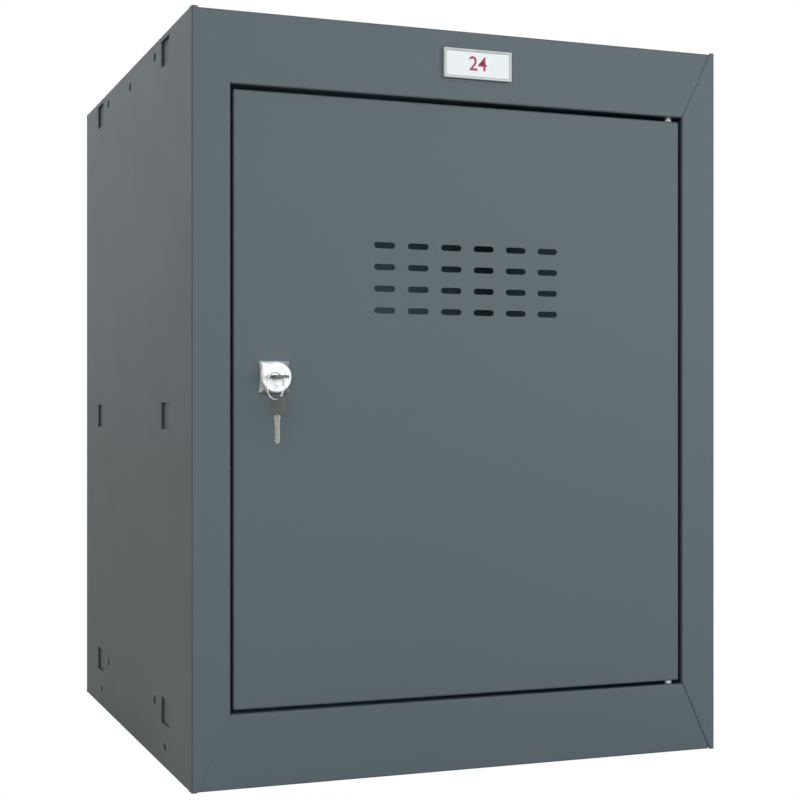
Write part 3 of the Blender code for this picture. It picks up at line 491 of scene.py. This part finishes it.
# ---- the plated flanks of the lock's head, square at the door and round at the face -----------------------------
def head_ring(forward, shrink, grow, count=96):
    """One section of the head: forward of the door's face, made smaller by shrink and larger by grow."""
    share = min(max((forward - 0.0018) / 0.0046, 0.0), 1.0)
    ring = []
    for k in range(count):
        a = 2 * math.pi * k / count
        u, v = abs(math.cos(a)), abs(math.sin(a))
        reach = 0.0102 - (0.0012 * (1 - (v / u) ** 2) if u > v else 0.0)
        square = min(reach / max(u, v), 0.0102 * 1.395)
        r = square * (1 - share) + 0.01025 * share - shrink + grow
        ring.append(LOCK + Vector((r * math.cos(a), 0.0019 - forward, r * math.sin(a))))
    return ring


flank = [(0.0003 + 0.0061 * k / 16, 0.0, 0.00013) for k in range(16)]
flank += [(0.0064, 0.0, 0.00010), (0.0067, 0.00010, 0.00009), (0.0070, 0.0003, 0.00006)]
flank += [(0.0070, 0.0003, -0.00020), (0.0064, 0.0, -0.00025), (0.0018, 0.0, -0.00025), (0.0003, 0.0, -0.00025)]
rings = [head_ring(*row) for row in flank]
verts = [point for ring in rings for point in ring]
faces = []
for i in range(len(rings)):
    j = (i + 1) % len(rings)
    for k in range(96):
        m = (k + 1) % 96
        faces.append((i * 96 + k, i * 96 + m, j * 96 + m, j * 96 + k))
# the flank shell wears the darker copy of the plating, which is painted shade
lock_flank = piece("lock_flank", mesh_from("lock_flank", verts, faces), MATERIALS["lock_flank"], "door")

# ---- keys: a sunk panel in each face of the bow, and a milled groove along the blade -------------------------
BOW_SHAPE = (
    (0.30, 0.0),
    (0.365, 0.025),
    (0.405, 0.075),
    (0.45, 0.21),
    (0.485, 0.38),
    (0.5, 0.55),
    (0.495, 0.68),
    (0.465, 0.80),
    (0.405, 0.90),
    (0.33, 0.965),
    (0.26, 1.0),
)
hang = Vector((-0.140116, FRONT - 0.017622, 0.250207))
KEYS = {
    "key": Matrix.Translation(LOCK + Vector((0, -(LOCK_OUT + 0.0006 + BOW_L), 0))),
    "spare_key": Matrix.Translation(hang + Vector((0, 0, 0.0017)))
    @ Matrix(((ACROSS.x, 0, -TO_RING.x), (ACROSS.y, 0, -TO_RING.y), (0, -1, 0))).to_4x4(),
}
for name, place in KEYS.items():
    half = [(BOW_W * u * 0.80, BOW_L * (0.46 + v * 0.47)) for u, v in BOW_SHAPE[2:]]
    panel = [(u, v) for u, v in half] + [(-u, v) for u, v in reversed(half)]
    depth = 0.00016
    shapes = []
    for sign in (-1, 1):
        face = sign * BOW_T / 2
        low, high = sorted((face - sign * depth, face + sign * 0.0004))
        shapes.append(prism(place, panel, low, high))
    verts, faces = merged(shapes)
    cut(f"{name}_bow", mesh_from(f"{name}_panel", verts, faces, smooth=False))
    shapes = []
    for sign, off in ((-1, 0.00045), (1, -0.0003)):
        face = sign * BLADE_T / 2
        low, high = sorted((face - sign * 0.0003, face + sign * 0.0004))
        shapes.append(brick(place, off - 0.00045, off + 0.00045, BOW_L + 0.0018, BOW_L + BLADE_L + 0.002, low, high))
    verts, faces = merged(shapes)
    cut(f"{name}_blade", mesh_from(f"{name}_grooves", verts, faces, smooth=False))
    # grip ribs that stand in the sunk panel
    body = "key" if name == "key" else "spare_key"
    shapes = []
    for sign in (-1, 1):
        base = sign * (BOW_T / 2 - depth)
        top = sign * (BOW_T / 2 - 0.00002)
        for k in range(3):
            v = BOW_L * (0.60 + 0.095 * k)
            low, high = sorted((base - sign * 0.0002, top))
            shapes.append(brick(place, -BOW_W * 0.24, BOW_W * 0.24, v, v + 0.00042, low, high))
    verts, faces = merged(shapes)
    ribs = piece(f"{name}_grip", mesh_from(f"{name}_grip", verts, faces), MATERIALS["key_bow_plastic"], body)
    edge = ribs.modifiers.new("bevel", "BEVEL")
    edge.width, edge.segments = 0.00006, 2

# ---- the split ring: two turns of wire -----------------------------------------------------------------------
ring_centre = LOCK + Vector((0, -(LOCK_OUT + 0.0006 + BOW_L - 0.0026), 0)) + TO_RING * 0.00596
ring_centre.z = 0.25849
steps, points, frames = 220, [], []
start = math.radians(-35)
for i in range(steps + 1):
    turn = 4 * math.pi * i / steps
    a = start + turn
    out = TO_RING * math.cos(a) + Vector((0, 0, 1)) * math.sin(a)
    x = min(max((turn - 2 * math.pi + 0.35) / 0.7, 0.0), 1.0)
    shift = -0.000245 + 0.00049 * (3 * x * x - 2 * x * x * x)
    points.append(ring_centre + out * (RING_R - 0.00002) + ACROSS * shift)
    frames.append((out, ACROSS))
section = [(0.00044 * math.cos(2 * math.pi * k / 12), 0.000235 * math.sin(2 * math.pi * k / 12)) for k in range(12)]
verts, faces = sweep(points, frames, section)
ring = piece("split_ring", mesh_from("split_ring", verts, faces), MATERIALS["ring_wire"], "ring")
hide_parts("key_ring")

# ---- the lock's inner ring, which fills the gap between plug and head ----------------------------------------
verts, faces = tube(LOCK, 0.00604, 0.00626, -LOCK_OUT + 0.00012, -LOCK_OUT + 0.00072, 48)
piece("lock_inner_ring", mesh_from("lock_inner_ring", verts, faces), MATERIALS["lock_chrome"], "door")

# ---- the mitres of the frame ----------------------------------------------------------------------------------
# At the top left it is welded flush, so a low flat bead covers the joint, and at the bottom left it is filled nearly to
# the face. On the right the joint shows as a soft groove: the edges are rounded, and the filler lies below them.
BEAD = [(-0.00055, 0.0006), (-0.00055, -0.000003), (-0.00028, -0.000024), (0, -0.00003), (0.00028, -0.000024)]
BEAD += [(0.00055, -0.000003), (0.00055, 0.0006)]
FILLER = [(-0.00019, 0.0009), (-0.00019, 0.00046), (0, 0.00052), (0.00019, 0.00046), (0.00019, 0.0009)]
HIGH_FILLER = [(-0.00017, 0.0008), (-0.00017, 0.00014), (0, 0.00018), (0.00017, 0.00014), (0.00017, 0.0008)]
GROOVE = [(-0.00125, -0.0003), (-0.00125, 0.0), (-0.00100, 0.000026), (-0.00075, 0.00009), (-0.00052, 0.00020)]
GROOVE += [(-0.00020, 0.00046), (-0.00020, 0.00060)]
GROOVE += [(-u, v) for u, v in reversed(GROOVE)]
DEEP_FILLER = [(-0.00041, 0.00120), (-0.00041, 0.00078), (0, 0.00086), (0.00041, 0.00078), (0.00041, 0.00120)]
DEEP_GROOVE = [(-0.00125, -0.0003), (-0.00125, 0.0), (-0.00104, 0.00003), (-0.00086, 0.00010), (-0.00068, 0.00024)]
DEEP_GROOVE += [(-0.00053, 0.00048), (-0.00042, 0.00080), (-0.00042, 0.00110)]
DEEP_GROOVE += [(-u, v) for u, v in reversed(DEEP_GROOVE)]
MITRE_SHIFT = 0.00019


def mitre_bar(side_x, z0, z1, open_x, section, start, end):
    """A bar along a mitre, from the frame's outer corner to the opening's corner."""
    outer = Vector((side_x * (0.1871 - MITRE_SHIFT), FRONT, z0))
    inner = Vector((side_x * (open_x - MITRE_SHIFT), FRONT, z1))
    along = (inner - outer).normalized()
    across = Vector((along.z, 0, -along.x))
    return sweep([outer + along * start, inner + along * end], [(across, Vector((0, 1, 0)))] * 2, section)


LEFT_TOP = (-1, 0.4989, 0.4518, 0.1658)
LEFT_BOTTOM = (-1, 0.0009, 0.0489, 0.1658)
RIGHT_TOP = (1, 0.4989, 0.4518, 0.1648)
RIGHT_BOTTOM = (1, 0.0009, 0.0489, 0.1648)
for name, place, section in (
    ("mitre_top_left", LEFT_TOP, BEAD),
    ("mitre_bottom_left", LEFT_BOTTOM, HIGH_FILLER),
    ("mitre_top_right", RIGHT_TOP, FILLER),
    ("mitre_bottom_right", RIGHT_BOTTOM, DEEP_FILLER),
):
    verts, faces = mitre_bar(*place, section, 0.0006, -0.0009)
    piece(name, mesh_from(name, verts, faces), MATERIALS["powder_coat_cabinet"], "cabinet")
for name, places in (
    ("side_panel_right", ((RIGHT_TOP, GROOVE), (RIGHT_BOTTOM, DEEP_GROOVE))),
    ("top_panel", ((RIGHT_TOP, GROOVE),)),
    ("base_panel", ((RIGHT_BOTTOM, DEEP_GROOVE),)),
):
    verts, faces = merged([mitre_bar(*place, section, -0.0005, 0.0004) for place, section in places])
    cut(name, mesh_from(f"{name}_groove", verts, faces, smooth=False))

# ---- the label's number ---------------------------------------------------------------------------------------
low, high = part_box("label_card")
text = bpy.data.curves.new("label_number", "FONT")
text.body = "24"
text.size = 0.0135
text.extrude = 0.00003
text.offset = 0.00012
text.align_x, text.align_y = "CENTER", "CENTER"
number = bpy.data.objects.new("label_number", text)
scene.collection.objects.link(number)
number.rotation_euler = (math.radians(90), 0, 0)
number.location = ((low.x + high.x) / 2, low.y - 0.00002, (low.z + high.z) / 2)
text.materials.append(MATERIALS["label_print"])
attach(number, "cabinet")

# ---- light, floor and camera --------------------------------------------------------------------------------
# The backdrop is white to the camera. For everything else it is a large dim studio: soft lobes of light, each with its
# azimuth (from the front towards the right), its elevation, its tightness and its red, green and blue strength.
LOBES = (
    (0, 45, 8, 0.078, 0.250, 0.340),
    (60, 45, 8, 0.000, 0.042, 0.117),
    (180, 45, 8, 2.496, 2.505, 2.455),
    (-120, 45, 8, 0.152, 0.097, 0.000),
    (-60, 45, 8, 1.087, 1.100, 1.040),
    (0, 6, 20, 0.000, 0.095, 0.165),
    (22, 6, 20, 2.360, 2.504, 2.595),
    (50, 6, 20, 4.192, 4.282, 4.338),
    (180, 6, 20, 0.963, 0.996, 1.050),
    (-159, 6, 30, 0.000, 0.017, 0.078),
    (-100, 6, 12, 0.070, 0.038, 0.000),
    (-25, 6, 20, 4.611, 4.664, 4.696),
)
FLOOR_TINT = (0.62, 0.585, 0.54)

scene.view_settings.view_transform = "Standard"
scene.view_settings.look = "None"


def direction(azimuth, elevation):
    a, e = math.radians(azimuth), math.radians(elevation)
    return (math.sin(a) * math.cos(e), -math.cos(a) * math.cos(e), math.sin(e))


def studio_world(lobes):
    world = bpy.data.worlds.new("studio")
    world.use_nodes = True
    tree = world.node_tree
    tree.nodes.clear()
    coord = tree.nodes.new("ShaderNodeTexCoord").outputs["Generated"]
    total = None
    for azimuth, elevation, tight, *colour in lobes:
        dot = tree.nodes.new("ShaderNodeVectorMath")
        dot.operation = "DOT_PRODUCT"
        tree.links.new(coord, dot.inputs[0])
        dot.inputs[1].default_value = direction(azimuth, elevation)
        front = tree.nodes.new("ShaderNodeMath")
        front.operation = "MAXIMUM"
        tree.links.new(dot.outputs["Value"], front.inputs[0])
        front.inputs[1].default_value = 0.0
        power = tree.nodes.new("ShaderNodeMath")
        power.operation = "POWER"
        tree.links.new(front.outputs[0], power.inputs[0])
        power.inputs[1].default_value = tight
        add = tree.nodes.new("ShaderNodeVectorMath")
        add.operation = "MULTIPLY_ADD"
        tree.links.new(power.outputs[0], add.inputs[0])
        add.inputs[1].default_value = colour
        if total is None:
            add.inputs[2].default_value = (0, 0, 0)
        else:
            tree.links.new(total, add.inputs[2])
        total = add.outputs[0]
    studio = tree.nodes.new("ShaderNodeBackground")
    tree.links.new(total, studio.inputs["Color"])
    backdrop = tree.nodes.new("ShaderNodeBackground")
    backdrop.inputs["Color"].default_value = (1, 1, 1, 1)
    path = tree.nodes.new("ShaderNodeLightPath")
    choose = tree.nodes.new("ShaderNodeMixShader")
    tree.links.new(path.outputs["Is Camera Ray"], choose.inputs[0])
    tree.links.new(studio.outputs[0], choose.inputs[1])
    tree.links.new(backdrop.outputs[0], choose.inputs[2])
    out = tree.nodes.new("ShaderNodeOutputWorld")
    tree.links.new(choose.outputs[0], out.inputs["Surface"])
    scene.world = world
    return world


studio_world(LOBES)

floor_mesh = bpy.data.meshes.new("studio_floor")
floor_mesh.from_pydata([(-30, -30, 0), (30, -30, 0), (30, 30, 0), (-30, 30, 0)], [], [(0, 1, 2, 3)])
floor = bpy.data.objects.new("studio_floor", floor_mesh)
scene.collection.objects.link(floor)
floor.location.z = -0.0002
paper = Tree("studio_floor")
paper.set(Roughness=0.9, Specular_IOR_Level=0.1)
paper.done(paper.mix(paper.noise(2.0), shade(FLOOR_TINT, 0.98), shade(FLOOR_TINT, 1.02)))
glow = paper.nodes.new("ShaderNodeEmission")
glow.inputs["Color"].default_value = (1, 1, 1, 1)
seen = paper.nodes.new("ShaderNodeMixShader")
path = paper.nodes.new("ShaderNodeLightPath")
paper.links.new(path.outputs["Is Camera Ray"], seen.inputs[0])
paper.links.new(paper.shader.outputs[0], seen.inputs[1])
paper.links.new(glow.outputs[0], seen.inputs[2])
paper.links.new(seen.outputs[0], paper.nodes["Material Output"].inputs["Surface"])
floor.data.materials.append(paper.mat)
floor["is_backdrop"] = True


def area_light(name, place, target, size, power, colour=(1, 1, 1)):
    data = bpy.data.lights.new(name, "AREA")
    data.shape = "RECTANGLE"
    data.size, data.size_y = size
    data.energy = power
    data.color = colour
    light = bpy.data.objects.new(name, data)
    scene.collection.objects.link(light)
    light.location = place
    light.rotation_euler = (Vector(target) - Vector(place)).to_track_quat("-Z", "Y").to_euler()
    return light


def spot_light(name, place, target, power, full_angle, colour=(1, 1, 1)):
    data = bpy.data.lights.new(name, "SPOT")
    data.energy = power
    data.spot_size = math.radians(full_angle)
    data.spot_blend = 1.0
    data.shadow_soft_size = 0.01
    data.color = colour
    light = bpy.data.objects.new(name, data)
    scene.collection.objects.link(light)
    light.location = place
    light.rotation_euler = (Vector(target) - Vector(place)).to_track_quat("-Z", "Y").to_euler()
    light.visible_camera = light.visible_glossy = False
    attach(light, "door")
    return light


# a little light inside the cabinet, so that what is behind the vents isn't black; it leaves with the door
spot_light("inner_back", (-0.03, -0.02, 0.21), (0.045, 0.208, 0.300), 1.75, 58, (0.80, 0.97, 1.0))
spot_light("inner_right", (-0.02, 0.06, 0.33), (0.19, 0.085, 0.345), 0.38, 66, (0.80, 0.97, 1.0))

# soft lights that only the lock's plating sees: one high on the left, and the pale floor's sheen from below
plated = bpy.data.collections.new("plated")
scene.collection.children.link(plated)
plated.objects.link(lock_flank)
high = area_light("lock_high", (-0.720, -0.26, 0.950), LOCK, (0.40, 0.40), 13.5, (1.0, 1.0, 1.0))
under = area_light("lock_under", (-0.457, -0.226, 0.025), LOCK, (0.20, 0.12), 0.10, (1.0, 0.94, 0.80))
for light in (high, under):
    light.light_linking.receiver_collection = plated
    light.visible_camera = False

# light that the floor throws back onto the foot of the left side
foot = area_light("foot_bounce", (-0.30, -0.14, 0.012), (-0.19, -0.125, 0.012), (0.06, 0.02), 0.020, (1.0, 0.84, 0.58))
foot.visible_camera = foot.visible_glossy = False

camera_data = bpy.data.cameras.new("camera")
camera_data.sensor_width = 36.0
camera_data.lens = 70.827
camera_data.shift_y = 0.0182
camera_data.clip_start, camera_data.clip_end = 0.05, 100.0
camera = bpy.data.objects.new("camera", camera_data)
scene.collection.objects.link(camera)
camera.location = (-0.42045, FRONT - 0.97709, 0.24036)
camera.rotation_euler = (math.radians(90), 0, math.radians(-20.748))
scene.camera = camera

# ---- the bounds of what is shown, and the end ---------------------------------------------------------------
low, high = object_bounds()
